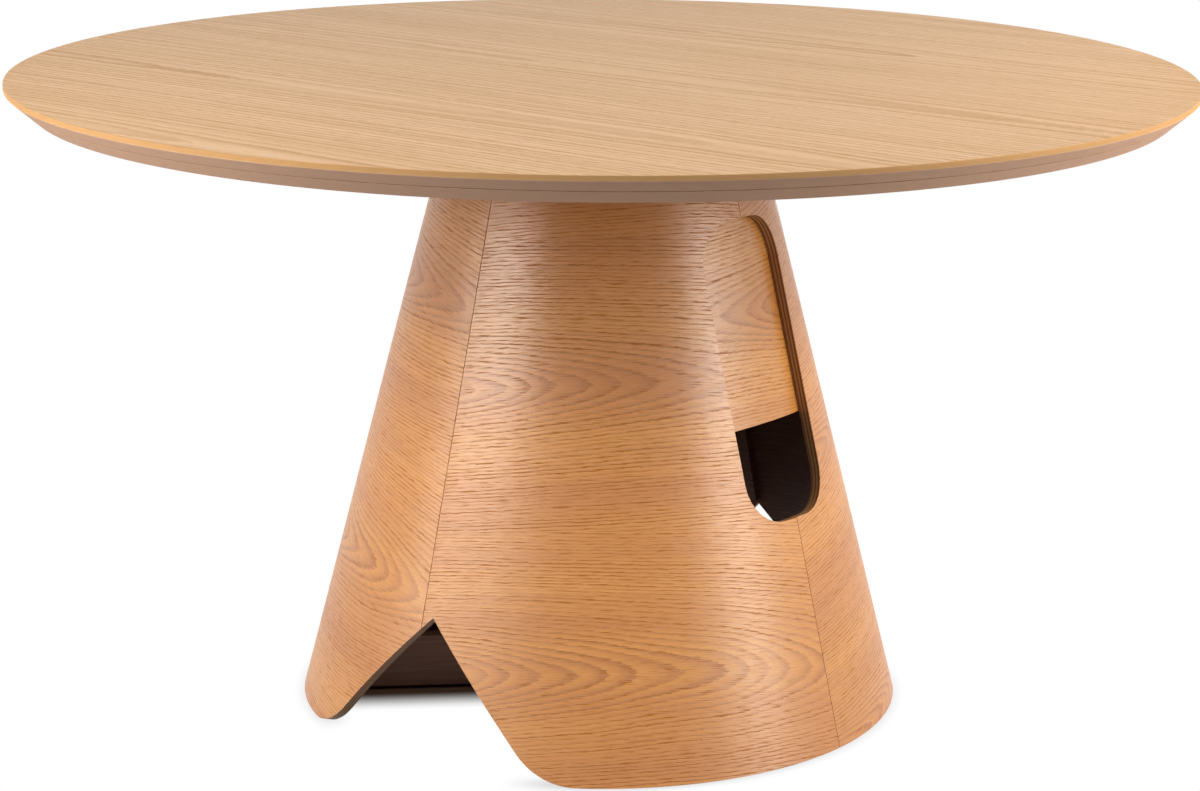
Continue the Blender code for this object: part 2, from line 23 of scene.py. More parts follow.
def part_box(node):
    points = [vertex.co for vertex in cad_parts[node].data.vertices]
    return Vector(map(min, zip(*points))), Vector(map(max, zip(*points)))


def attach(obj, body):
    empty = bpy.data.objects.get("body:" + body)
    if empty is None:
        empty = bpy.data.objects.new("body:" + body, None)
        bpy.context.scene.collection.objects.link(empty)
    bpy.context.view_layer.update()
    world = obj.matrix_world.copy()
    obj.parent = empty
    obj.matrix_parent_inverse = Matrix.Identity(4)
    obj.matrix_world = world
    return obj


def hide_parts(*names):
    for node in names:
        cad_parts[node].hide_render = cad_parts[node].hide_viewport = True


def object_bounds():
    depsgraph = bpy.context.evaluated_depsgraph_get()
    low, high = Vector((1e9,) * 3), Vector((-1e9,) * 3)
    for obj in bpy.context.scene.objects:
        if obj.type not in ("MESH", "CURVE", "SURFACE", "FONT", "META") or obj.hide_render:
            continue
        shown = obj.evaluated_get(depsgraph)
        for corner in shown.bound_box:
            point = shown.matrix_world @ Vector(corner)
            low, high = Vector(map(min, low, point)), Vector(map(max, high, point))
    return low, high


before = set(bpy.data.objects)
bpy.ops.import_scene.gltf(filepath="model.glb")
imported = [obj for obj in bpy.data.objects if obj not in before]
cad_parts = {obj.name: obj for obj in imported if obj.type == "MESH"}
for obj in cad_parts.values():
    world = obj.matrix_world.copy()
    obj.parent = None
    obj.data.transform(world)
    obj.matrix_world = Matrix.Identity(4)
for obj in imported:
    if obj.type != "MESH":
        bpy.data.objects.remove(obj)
CAD_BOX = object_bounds()
LOG = logging.getLogger("round_dining_table")

GRAIN = "grain"
PLY_DEPTH = "ply_depth"
WELD = 1e-6
LEVEL = 1e-4
PLACES = 5
FINE_PLACES = 6
SHORTEST_EDGE = 0.0004
FLAT_ANGLE = math.radians(0.3)
SHARP_ANGLE = math.radians(20.0)
LEVEL_NORMAL = 0.7
FULL_TURN = 2.0 * math.pi
UP = Vector((0.0, 0.0, 1.0))
WHITE = (1.0, 1.0, 1.0)
STAR_DIP = 0.14
STAR_LOBES = 6
HEXAGON_SIDES = 6

# A Band is the two ends of a smooth step or of a range, and Waves are noise waves per metre, axis by axis.
Colour = tuple[float, float, float]
Band = tuple[float, float]
Waves = tuple[float, ...]
Profile = Sequence[tuple[float, float]]
GrainRule = Callable[[BMLoop], tuple[float, float]]


class Bearing(Enum):
    """A way out from the table's axis: a word of the node names, with its azimuth in degrees."""

    @property
    def word(self) -> str:
        """The word in node names."""
        return self.name.lower()

    @property
    def azimuth(self) -> float:
        """The azimuth in radians."""
        return math.radians(self.value)


class Side(Bearing):
    """The four quarter panels, at the azimuths of their middles."""

    FRONT = 45.0
    RIGHT = 135.0
    REAR = 225.0
    LEFT = 315.0


class Seam(Bearing):
    """The four seams between the panels."""

    FRONT = 0.0
    RIGHT = 90.0
    REAR = 180.0
    LEFT = 270.0


class Signal:
    """One number of a finish, carried by a socket; arithmetic on it adds Math nodes."""

    def __init__(self, graph: "NodeGraph", socket: NodeSocket) -> None:
        """Keep the graph that the socket belongs to."""
        self.graph = graph
        self.socket = socket

    def __add__(self, other: "Feed") -> "Signal":
        """Sum."""
        return self.graph.math("ADD", self, other)

    def __sub__(self, other: "Feed") -> "Signal":
        """Difference."""
        return self.graph.math("SUBTRACT", self, other)

    def __rsub__(self, other: "Feed") -> "Signal":
        """Difference from a plain number."""
        return self.graph.math("SUBTRACT", other, self)

    def __mul__(self, other: "Feed") -> "Signal":
        """Product."""
        return self.graph.math("MULTIPLY", self, other)

    def __truediv__(self, other: "Feed") -> "Signal":
        """Quotient."""
        return self.graph.math("DIVIDE", self, other)

    def between(self, start: float, end: float) -> "Signal":
        """The range from 0 to 1, stretched from start to end."""
        return self * (end - start) + start

    def floor(self) -> "Signal":
        """Whole part."""
        return self.graph.math("FLOOR", self)

    def fraction(self) -> "Signal":
        """Part after the point."""
        return self.graph.math("FRACT", self)

    def root(self) -> "Signal":
        """Square root."""
        return self.graph.math("SQRT", self)

    def size(self) -> "Signal":
        """The number without its sign."""
        return self.graph.math("ABSOLUTE", self)


Feed = Union[float, Sequence[float], Signal]
Place = Sequence[Signal]


class NodeGraph:
    """Adds nodes to one node tree and wires them."""

    mix_first = 6
    mix_second = 7
    mix_result = 2

    def __init__(self, tree: NodeTree) -> None:
        """Keep the tree."""
        self.tree = tree

    def feed(self, socket: NodeSocket, value: Feed) -> None:
        """Link a signal to a socket, or set a plain value on it.

        Args:
            socket: the input.
            value: a signal, a number, or three numbers for a colour or a vector.
        """
        if isinstance(value, Signal):
            self.tree.links.new(value.socket, socket)
        elif socket.type == "RGBA":
            socket.default_value = (*value, 1.0)
        else:
            socket.default_value = value

    def add(self, kind: str, feeds: dict[Union[str, int], Feed], output: Union[str, int] = 0,
            **settings: object) -> Signal:
        """Add one node.

        Args:
            kind: Blender's name of the node type.
            feeds: what goes into its inputs, by name or number.
            output: name or number of the output wanted.
            **settings: properties of the node.

        Returns:
            The output as a signal.
        """
        node = self.tree.nodes.new(kind)
        for key, value in settings.items():
            setattr(node, key, value)
        for key, value in feeds.items():
            self.feed(node.inputs[key], value)
        return Signal(self, node.outputs[output])

    def math(self, operation: str, *feeds: Feed) -> Signal:
        """One Math node."""
        return self.add("ShaderNodeMath", dict(enumerate(feeds)), operation=operation)

    def noise(self, place: Place, waves: Waves, detail: float = 2.0) -> Signal:
        """Smooth noise about one half.

        Args:
            place: two or three coordinates.
            waves: waves per unit of each coordinate.
            detail: octaves.

        Returns:
            The noise, mostly between 0.25 and 0.75.
        """
        scaled = [axis * count for axis, count in zip(place, waves)]
        point = self.add("ShaderNodeCombineXYZ", dict(enumerate(scaled)))
        return self.add("ShaderNodeTexNoise", {"Vector": point, "Scale": 1.0, "Detail": detail})

    def swing(self, place: Place, waves: Waves, amount: float) -> Signal:
        """Noise about zero, up to half of an amount either way."""
        return (self.noise(place, waves) - 0.5) * amount

    def lot(self, number: Feed) -> Signal:
        """A fixed random number from 0 to 1 for each whole number."""
        return self.add("ShaderNodeTexWhiteNoise", {"W": number}, noise_dimensions="1D")

    def ease(self, value: Feed, band: Band) -> Signal:
        """Smooth step from 0 at the band's first end to 1 at its second."""
        feeds = {"Value": value, "From Min": band[0], "From Max": band[1]}
        return self.add("ShaderNodeMapRange", feeds, interpolation_type="SMOOTHSTEP")

    def blend(self, share: Feed, first: Feed, second: Feed) -> Signal:
        """Mix of two colours: the first at a share of 0, the second at 1."""
        feeds = {0: share, self.mix_first: first, self.mix_second: second}
        return self.add("ShaderNodeMix", feeds, self.mix_result, data_type="RGBA")

    def looked_at(self) -> Signal:
        """1 for a ray that looks straight at something, in a mirror or through glass."""
        kinds = ("Is Camera Ray", "Is Glossy Ray", "Is Transmission Ray")
        straight, mirrored, through = (self.add("ShaderNodeLightPath", {}, kind) for kind in kinds)
        return self.math("MAXIMUM", self.math("MAXIMUM", straight, mirrored), through)


class FinishGraph(NodeGraph):
    """Node graph of one procedural finish, with its Principled shader."""

    depth_output = 2

    def __init__(self, name: str) -> None:
        """Start a material with a bare Principled shader."""
        self.material: Material = bpy.data.materials.new(name)
        self.material.use_nodes = True
        super().__init__(self.material.node_tree)
        self.shader: Node = self.tree.nodes["Principled BSDF"]

    def parts(self, vector: Signal, axes: str) -> Place:
        """Parts of a vector along the named axes."""
        return tuple(self.add("ShaderNodeSeparateXYZ", {0: vector}, axis) for axis in axes)

    def grain(self) -> Place:
        """Distances along and across the grain, in metres, from the piece's own UV map."""
        return self.parts(self.add("ShaderNodeUVMap", {}, uv_map=GRAIN), "XY")

    def position(self) -> Place:
        """The three Object coordinates."""
        return self.parts(self.add("ShaderNodeTexCoord", {}, "Object"), "XYZ")

    def facing_up(self) -> Signal:
        """1 on a face that looks straight up, and -1 on one that looks down."""
        return self.parts(self.add("ShaderNodeTexCoord", {}, "Normal"), "Z")[0]

    def ply_depth(self) -> Signal:
        """Depth below the board's face, in metres, from the piece's own attribute."""
        return self.add("ShaderNodeAttribute", {}, self.depth_output, attribute_name=PLY_DEPTH)

    def relief(self, height: Signal, depth: float) -> Signal:
        """Bump of a height signal whose full step is this deep, in metres."""
        return self.add("ShaderNodeBump", {"Height": height, "Distance": depth, "Strength": 1.0})

    def dress(self, **feeds: Feed) -> Material:
        """Feed the shader and hand over the material.

        Args:
            **feeds: shader inputs by name, with underscores for spaces.

        Returns:
            The finished material.
        """
        for key, value in feeds.items():
            self.feed(self.shader.inputs[key.replace("_", " ")], value)
        return self.material


@dataclass(frozen=True)
class DarkStain:
    """Dark brown stain on plywood or sawn wood, with the grain showing through."""

    name: str = "dark_stained_ply"
    deep: Colour = (0.180, 0.078, 0.050)
    worn: Colour = (0.340, 0.170, 0.110)
    streak_waves: Waves = (9.0, 260.0)
    streak_weight: float = 0.7
    cloud_waves: Waves = (5.0, 11.0)
    cloud_weight: float = 0.5
    worn_band: Band = (0.50, 0.90)
    pore_waves: Waves = (40.0, 700.0)
    pore_depth: float = 0.0002
    roughness: Band = (0.45, 0.70)

    def colour(self, graph: FinishGraph, place: Place) -> Signal:
        """Streaked colour of the stain."""
        streaks = graph.noise(place, self.streak_waves, detail=4.0)
        cloud = graph.noise(place, self.cloud_waves)
        worn = graph.ease(streaks * self.streak_weight + cloud * self.cloud_weight, self.worn_band)
        return graph.blend(worn, self.deep, self.worn)

    def material(self) -> Material:
        """Material for a piece that is stained all over."""
        graph = FinishGraph(self.name)
        place = graph.grain()
        pores = graph.noise(place, self.pore_waves)
        return graph.dress(
            Base_Color=self.colour(graph, place), Roughness=pores.between(*self.roughness),
            Normal=graph.relief(pores, self.pore_depth))


@dataclass(frozen=True)
class OakVeneer:
    """Lacquered oak veneer: leaves side by side, each with a heart line, growth rings and open pores.

    A leaf is sliced past the heart of its log, so its rings are cuts of a cone round a line that lies
    heart_depth under the face and falls away along the grain. Lengths are in metres.
    """

    pale: Colour
    honey: Colour
    ring_brown: Colour
    pore_brown: Colour
    leaf_width: float = 0.323
    heart_depth: float = 0.048
    heart_fall: float = 0.100
    heart_spread: float = 0.010
    heart_zone: Band = (0.050, 0.015)
    point: float = 0.006
    sway: float = 0.014
    sway_waves: Waves = (2.2, 6.0)
    ripple: float = 0.0022
    ripple_waves: Waves = (42.0, 140.0)
    wander: float = 0.012
    wander_waves: Waves = (5.0, 7.3)
    ring_width: float = 0.0039
    ring_drift: float = 2.0
    drift_waves: Waves = (40.0, 3.1)
    ring_fray: float = 0.5
    fray_waves: Waves = (110.0, 500.0)
    years_apart: float = 57.0
    year_strength: Band = (0.4, 1.0)
    band_rise: Band = (0.05, 0.80)
    band_fall: Band = (1.0, 0.93)
    band_strength: Band = (0.45, 0.80)
    line_rise: Band = (0.50, 0.80)
    line_fall: Band = (1.0, 0.92)
    line_strength: float = 0.30
    dash_waves: Waves = (44.0, 1120.0)
    dash_band: Band = (0.57, 0.80)
    year_crowding: Band = (0.10, 0.24)
    heart_crowding: Band = (1.0, 0.5)
    fibre_waves: Waves = (36.0, 1000.0)
    fibre_band: Band = (0.36, 0.68)
    tone_waves: Waves = (1.3, 14.0)
    tone_band: Band = (0.34, 0.66)
    streak_waves: Waves = (2.0, 85.0)
    streak_band: Band = (0.52, 0.66)
    ring_share: float = 0.78
    pore_share: float = 0.46
    fibre_share: float = 0.22
    streak_share: float = 0.15
    pore_opening: float = 0.8
    fibre_opening: float = 0.2
    open_roughness: float = 0.12
    roughness: float = 0.35
    gloss: float = 1.0
    lacquer_ior: float = 1.65
    pore_depth: float = 0.00012

    def figure(self, graph: FinishGraph, place: Place) -> tuple[Signal, Signal, Signal]:
        """Growth rings of the leaves.

        Args:
            graph: the finish under way.
            place: distances along and across the grain.

        Returns:
            Soft brown bands of the rings, the dashes of pores that crowd along them, and the across
            distance with the grain's own sway in it.
        """
        along, across = place
        swayed = (across + graph.swing(place, self.sway_waves, self.sway)
                  + graph.swing(place, self.ripple_waves, self.ripple))
        leaf = (swayed / self.leaf_width + 0.5).floor()
        from_heart = swayed - leaf * self.leaf_width
        heart = (along * self.heart_fall + self.heart_depth + (graph.lot(leaf) - 0.5) * self.heart_spread
                 + graph.swing((along, leaf), self.wander_waves, self.wander))
        radius = (from_heart * from_heart + from_heart.size() * self.point + heart * heart).root()
        rings = (radius / self.ring_width + graph.swing((radius, leaf), self.drift_waves, self.ring_drift)
                 + graph.swing(place, self.fray_waves, self.ring_fray))
        late = rings.fraction()
        year = graph.lot(rings.floor() + leaf * self.years_apart)
        near = graph.ease(from_heart.size(), self.heart_zone)
        band = (graph.ease(late, self.band_rise) * graph.ease(late, self.band_fall)
                * year.between(*self.year_strength))
        line = graph.ease(late, self.line_rise) * graph.ease(late, self.line_fall)
        bands = band * near.between(*self.band_strength) + line * self.line_strength
        dashes = graph.noise((along, swayed), self.dash_waves, detail=1.0)
        crowd = line * year.between(*self.year_crowding) * near.between(*self.heart_crowding)
        return bands, graph.ease(dashes + crowd, self.dash_band), swayed

    def surface(self, graph: FinishGraph, place: Place) -> tuple[Signal, Signal, Signal]:
        """The veneer's face.

        Args:
            graph: the finish under way.
            place: distances along and across the grain.

        Returns:
            Its colour, its roughness, and how far its pores are open.
        """
        bands, pores, swayed = self.figure(graph, place)
        run = (place[0], swayed)
        fibre = graph.ease(graph.noise(run, self.fibre_waves), self.fibre_band)
        tone = graph.ease(graph.noise(run, self.tone_waves, detail=3.0), self.tone_band)
        streaks = graph.ease(graph.noise(run, self.streak_waves), self.streak_band)
        wood = graph.blend(tone, self.pale, self.honey)
        wood = graph.blend(streaks * self.streak_share, wood, self.ring_brown)
        wood = graph.blend(bands * self.ring_share, wood, self.ring_brown)
        wood = graph.blend(fibre * self.fibre_share, wood, self.ring_brown)
        wood = graph.blend(pores * self.pore_share, wood, self.pore_brown)
        opened = pores * self.pore_opening + fibre * self.fibre_opening
        return wood, opened * self.open_roughness + self.roughness, opened


@dataclass(frozen=True)
class FacedPly:
    """Plywood faced with oak: veneer outside, striped plies on the edges, dark stain inside."""

    name: str
    veneer: OakVeneer
    wall: float
    ply: float = 0.0020
    outer_band: Band = (0.00108, 0.00072)
    inner_band: Band = (0.0009, 0.00063)
    long_ply: Colour = (0.60, 0.35, 0.155)
    cross_ply: Colour = (0.26, 0.125, 0.055)
    turn_band: Band = (0.05, 0.075)
    glue_band: Band = (0.80, 0.97)
    glue_share: float = 0.55
    fibre_waves: Waves = (420.0, 1500.0)
    fibre_band: Band = (0.40, 0.75)
    fibre_share: float = 0.45
    edge_roughness: float = 0.18
    edge_gloss: float = 0.2
    pore_gloss: float = 0.15
    stain: DarkStain = DarkStain()

    def edge(self, graph: FinishGraph, along: Signal, depth: Signal) -> Signal:
        """Colour of the sawn edge, ply by ply."""
        layer = depth / self.ply
        from_middle = (layer * 0.5).fraction() - 0.5
        turned = graph.ease(from_middle * from_middle, self.turn_band)
        glue = graph.ease(layer.fraction(), self.glue_band)
        fibre = graph.ease(graph.noise((along, depth), self.fibre_waves), self.fibre_band)
        wood = graph.blend(turned, self.cross_ply, self.long_ply)
        wood = graph.blend(glue * self.glue_share, wood, self.stain.deep)
        return graph.blend(fibre * self.fibre_share, wood, self.stain.worn)

    def material(self) -> Material:
        """Material for the whole board, told apart by depth below its outer face."""
        graph = FinishGraph(self.name)
        place = graph.grain()
        depth = graph.ply_depth()
        oak, roughness, opened = self.veneer.surface(graph, place)
        outside = graph.ease(depth, self.outer_band)
        inside = graph.ease(depth, (self.wall - self.inner_band[0], self.wall - self.inner_band[1]))
        wood = graph.blend(outside, self.edge(graph, place[0] + place[1], depth), oak)
        wood = graph.blend(inside, wood, self.stain.colour(graph, place))
        shine = opened.between(1.0, self.pore_gloss) * outside.between(self.edge_gloss, 1.0)
        return graph.dress(
            Base_Color=wood, Roughness=roughness + (1.0 - outside) * self.edge_roughness,
            Specular_IOR_Level=shine * self.veneer.gloss, IOR=self.veneer.lacquer_ior,
            Normal=graph.relief(opened * outside, -self.veneer.pore_depth))


@dataclass(frozen=True)
class TurnedOak:
    """Oak-veneered tabletop, face and edge alike, with the grain in the boards' UV map."""

    name: str
    veneer: OakVeneer
    lip: Colour = (0.64, 0.36, 0.16)
    # Painted light: the bevel faces down, yet is painted paler and pinker than the oak face.
    bevel: Colour = (0.98, 0.64, 0.50)
    face_band: Band = (0.6, 0.9)
    bevel_band: Band = (-0.15, -0.35)
    rim_band: Band = (-0.98, -0.92)
    rim_share: float = 0.85
    rim_roughness: float = 0.2
    rim_gloss: float = 0.2
    pore_gloss: float = 0.4

    def material(self) -> Material:
        """Material for both boards, with a golden lip, a duller bevel painted pale and pinkish as painted
        light, and a plain underside.
        """
        graph = FinishGraph(self.name)
        oak, roughness, opened = self.veneer.surface(graph, graph.grain())
        up = graph.facing_up()
        polished = graph.ease(up, self.face_band)
        # The downward-facing bevel takes its painted light colour here.
        edge = graph.blend(graph.ease(up, self.bevel_band), self.lip, self.bevel)
        rim = graph.ease(up, self.rim_band) * (1.0 - polished)
        shine = opened.between(1.0, self.pore_gloss) * polished.between(self.rim_gloss, 1.0)
        return graph.dress(
            Base_Color=graph.blend(rim * self.rim_share, oak, edge),
            Roughness=roughness + (1.0 - polished) * self.rim_roughness,
            Specular_IOR_Level=shine * self.veneer.gloss,
            Normal=graph.relief(opened, -self.veneer.pore_depth))


@dataclass(frozen=True)
class RawPly:
    """Unfinished plywood that lies level: grain along X on its faces, plies by height on its edge."""

    name: str = "raw_cap_ply"
    face: Colour = (0.55, 0.38, 0.23)
    line: Colour = (0.34, 0.20, 0.10)
    ply: float = 0.0021
    ply_band: Band = (0.45, 0.55)
    ply_weight: float = 0.12
    streak_waves: Waves = (7.0, 140.0, 900.0)
    streak_depth: float = 0.0002
    line_band: Band = (0.45, 0.80)
    roughness: Band = (0.5, 0.8)

    def material(self) -> Material:
        """Material on Object coordinates."""
        graph = FinishGraph(self.name)
        place = graph.position()
        streaks = graph.noise(place, self.streak_waves, detail=4.0)
        plies = graph.ease((place[2] / self.ply).fraction(), self.ply_band)
        lines = graph.ease(streaks + plies * self.ply_weight, self.line_band)
        return graph.dress(
            Base_Color=graph.blend(lines, self.face, self.line), Roughness=streaks.between(*self.roughness),
            Normal=graph.relief(streaks, self.streak_depth))


@dataclass(frozen=True)
class ZincSteel:
    """Bright zinc plate: mottled, with fine turning marks."""

    name: str = "zinc_plated_steel"
    bright: Colour = (0.66, 0.66, 0.68)
    dull: Colour = (0.44, 0.45, 0.48)
    mottle_waves: Waves = (260.0, 260.0, 260.0)
    bright_band: Band = (0.35, 0.68)
    mark_waves: Waves = (90.0, 90.0, 5200.0)
    mark_depth: float = 0.00003
    roughness: Band = (0.22, 0.47)

    def material(self) -> Material:
        """Material on Object coordinates."""
        graph = FinishGraph(self.name)
        place = graph.position()
        mottle = graph.noise(place, self.mottle_waves, detail=3.0)
        marks = graph.noise(place, self.mark_waves)
        return graph.dress(
            Base_Color=graph.blend(graph.ease(mottle, self.bright_band), self.dull, self.bright),
            Metallic=1.0, Roughness=mottle.between(*self.roughness),
            Normal=graph.relief(marks, self.mark_depth))


@dataclass(frozen=True)
class BlackNylon:
    """Moulded black nylon with a fine spark texture."""

    name: str = "black_nylon"
    deep: Colour = (0.012, 0.012, 0.013)
    rubbed: Colour = (0.045, 0.045, 0.047)
    rub_waves: Waves = (160.0, 160.0, 160.0)
    rub_band: Band = (0.45, 0.75)
    spark_waves: Waves = (1400.0, 1400.0, 1400.0)
    spark_depth: float = 0.00006
    roughness: Band = (0.4, 0.6)

    def material(self) -> Material:
        """Material on Object coordinates."""
        graph = FinishGraph(self.name)
        place = graph.position()
        spark = graph.noise(place, self.spark_waves)
        rub = graph.noise(place, self.rub_waves)
        return graph.dress(
            Base_Color=graph.blend(graph.ease(rub, self.rub_band), self.deep, self.rubbed),
            Roughness=spark.between(*self.roughness), Normal=graph.relief(spark, self.spark_depth))


def azimuth_vector(azimuth: float) -> Vector:
    """Level unit vector that points outwards at an azimuth."""
    return Vector((math.sin(azimuth), -math.cos(azimuth), 0.0))


def azimuth_of(point: Vector) -> float:
    """Azimuth of a point, in radians from minus to plus pi."""
    return math.atan2(point.x, -point.y)


def nearest_turn(angle: float, reference: float) -> float:
    """The angle, a whole number of turns away, that lies nearest to a reference."""
    return angle - FULL_TURN * round((angle - reference) / FULL_TURN)


def node_points(node: str) -> list[Vector]:
    """Every vertex of a CAD node."""
    return [vert.co.copy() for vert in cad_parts[node].data.vertices]


def merged_copy(node: str) -> BMesh:
    """Copy of a CAD node with its loose triangles merged into whole faces.

    Args:
        node: name of the CAD node.

    Returns:
        A new bmesh.
    """
    bm = bmesh.new()
    bm.from_mesh(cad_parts[node].data)
    bmesh.ops.remove_doubles(bm, verts=bm.verts, dist=WELD)
    bmesh.ops.dissolve_limit(bm, angle_limit=FLAT_ANGLE, verts=bm.verts, edges=bm.edges)
    return bm


def spun(profile: Profile, steps: int) -> BMesh:
    """Spin a profile round the Z axis.

    Args:
        profile: (radius, height) points in order.
        steps: facets round the axis.

    Returns:
        A new bmesh.
    """
    bm = bmesh.new()
    verts = [bm.verts.new((radius, 0.0, height)) for radius, height in profile]
    edges = [bm.edges.new(pair) for pair in zip(verts, verts[1:])]
    bmesh.ops.spin(
        bm, geom=verts + edges, cent=(0.0, 0.0, 0.0), axis=UP, dvec=(0.0, 0.0, 0.0),
        angle=FULL_TURN, steps=steps, use_merge=True, use_duplicate=False)
    bmesh.ops.remove_doubles(bm, verts=bm.verts, dist=WELD)
    return bm


def round_edges(bm: BMesh, edges: list[BMEdge], radius: float, segments: int = 2) -> None:
    """Bevel some edges.

    Args:
        bm: the mesh.
        edges: the edges.
        radius: width of the rounding.
        segments: facets across it.
    """
    bmesh.ops.bevel(
        bm, geom=edges, offset=radius, offset_type="OFFSET", segments=segments, profile=0.5,
        affect="EDGES", material=-1, clamp_overlap=True)


def ease_edges(bm: BMesh, radius: float, segments: int = 2) -> None:
    """Round every sharp edge, as sanding does.

    Args:
        bm: the mesh.
        radius: width of the rounding.
        segments: facets across it.
    """
    bmesh.ops.dissolve_degenerate(bm, edges=bm.edges, dist=SHORTEST_EDGE)
    sharp = [edge for edge in bm.edges if edge.is_manifold and edge.calc_face_angle() > SHARP_ANGLE]
    round_edges(bm, sharp, radius, segments)


def lay_grain(bm: BMesh, rule: GrainRule) -> None:
    """Write the grain's UV map.

    Args:
        bm: the mesh.
        rule: gives the distances along and across the grain for one face corner.
    """
    layer = bm.loops.layers.uv.new(GRAIN)
    for face in bm.faces:
        for loop in face.loops:
            loop[layer].uv = rule(loop)


def sawn_grain(direction: Vector) -> GrainRule:
    """Grain of a straight piece, sawn along a level direction.

    Args:
        direction: the way the grain runs.

    Returns:
        The rule for lay_grain.
    """
    aside = UP.cross(direction)

    def rule(loop: BMLoop) -> tuple[float, float]:
        """Along the length, and sideways on a level face or up on any other."""
        point = loop.vert.co
        across = point.dot(aside) if abs(loop.face.normal.z) > LEVEL_NORMAL else point.z
        return point.dot(direction), across

    return rule


def as_mesh(name: str, bm: BMesh, material: Material) -> Mesh:
    """Turn a bmesh, which is freed, into a mesh with one finish."""
    mesh = bpy.data.meshes.new(name)
    bm.to_mesh(mesh)
    bm.free()
    mesh.materials.append(material)
    return mesh


def placed(name: str, data: ID) -> Object:
    """Put a mesh, a lamp or a camera into the scene as a new object."""
    thing = bpy.data.objects.new(name, data)
    bpy.context.scene.collection.objects.link(thing)
    return thing


def new_piece(name: str, bm: BMesh, material: Material, slot: str, *nodes: str) -> Object:
    """Turn a bmesh into a finished piece that stands for its CAD nodes.

    Args:
        name: name of the piece.
        bm: its mesh, which is freed.
        material: its finish.
        slot: the record's material slot; not used.
        *nodes: the CAD nodes that it replaces.

    Returns:
        The new object.
    """
    mesh = as_mesh(name, bm, material)
    mesh.shade_smooth()
    piece = placed(name, mesh)
    normals = piece.modifiers.new("Even shading", "WEIGHTED_NORMAL")
    normals.keep_sharp = True
    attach(piece, "root")
    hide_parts(*nodes)
    LOG.info("%s: %d faces for %s", name, len(mesh.polygons), ", ".join(nodes))
    return piece


@dataclass(frozen=True)
class VeneerCut:
    """Where a piece is cut from its sheet: shifts along and across the grain, and a flip end for end."""

    along: float = 0.0
    across: float = 0.0
    flipped: bool = False


PANEL_CUTS = {
    Side.FRONT: VeneerCut(0.06, 0.013), Side.RIGHT: VeneerCut(0.02, 0.12),
    Side.REAR: VeneerCut(-0.04, 0.20), Side.LEFT: VeneerCut(0.03, -0.073)}
LINER_CUTS = {Seam.RIGHT: VeneerCut(0.05, -0.052, True), Seam.LEFT: VeneerCut(0.04, 0.09)}


@dataclass(frozen=True)
class ConeWall:
    """Outer face of the cone base, and the flat pattern that its panels are cut from."""

    foot_z: float
    foot_radius: float
    neck_z: float
    neck_radius: float

    @classmethod
    def measured(cls, node: str) -> "ConeWall":
        """Read the cone from a packed panel.

        Args:
            node: name of the panel.

        Returns:
            The cone of its outer face.
        """
        low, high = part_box(node)
        points = node_points(node)
        foot = max(point.xy.length for point in points if point.z < low.z + LEVEL)
        neck = max(point.xy.length for point in points if point.z > high.z - LEVEL)
        return cls(low.z, foot, high.z, neck)

    @property
    def slope(self) -> float:
        """Angle of the wall from upright."""
        return math.atan((self.foot_radius - self.neck_radius) / (self.neck_z - self.foot_z))

    @property
    def apex_z(self) -> float:
        """Height at which the wall would meet its axis."""
        return self.foot_z + self.foot_radius / math.tan(self.slope)

    def square_out(self, azimuth: float) -> Vector:
        """Unit vector square out of the wall."""
        return azimuth_vector(azimuth) * math.cos(self.slope) + UP * math.sin(self.slope)

    def flattened(self, point: Vector, azimuth: float) -> tuple[float, float, float]:
        """A point's place in the flat pattern whose middle line is at an azimuth.

        Args:
            point: a point of a bent piece.
            azimuth: azimuth of the pattern's middle line.

        Returns:
            Distance to the right of the middle line, distance up from the apex, and depth inside the wall.
        """
        sine, cosine = math.sin(self.slope), math.cos(self.slope)
        radius, drop = point.xy.length, self.apex_z - point.z
        slant = radius * sine + drop * cosine
        turn = (nearest_turn(azimuth_of(point), azimuth) - azimuth) * sine
        return slant * math.sin(turn), -slant * math.cos(turn), drop * sine - radius * cosine

    def lay_bent_grain(self, bm: BMesh, azimuth: float, cut: VeneerCut) -> None:
        """Write the grain map and the ply depth of a bent piece.

        Args:
            bm: the bent mesh.
            azimuth: azimuth of its middle line.
            cut: where its veneer comes from.
        """
        face_depth = min(self.flattened(vert.co, azimuth)[2] for vert in bm.verts)
        depth = bm.verts.layers.float.new(PLY_DEPTH)
        for vert in bm.verts:
            vert[depth] = self.flattened(vert.co, azimuth)[2] - face_depth

        def rule(loop: BMLoop) -> tuple[float, float]:
            """Square to the middle line, and along it."""
            right, up, _ = self.flattened(loop.vert.co, azimuth)
            return (-right if cut.flipped else right) + cut.along, up + cut.across

        lay_grain(bm, rule)


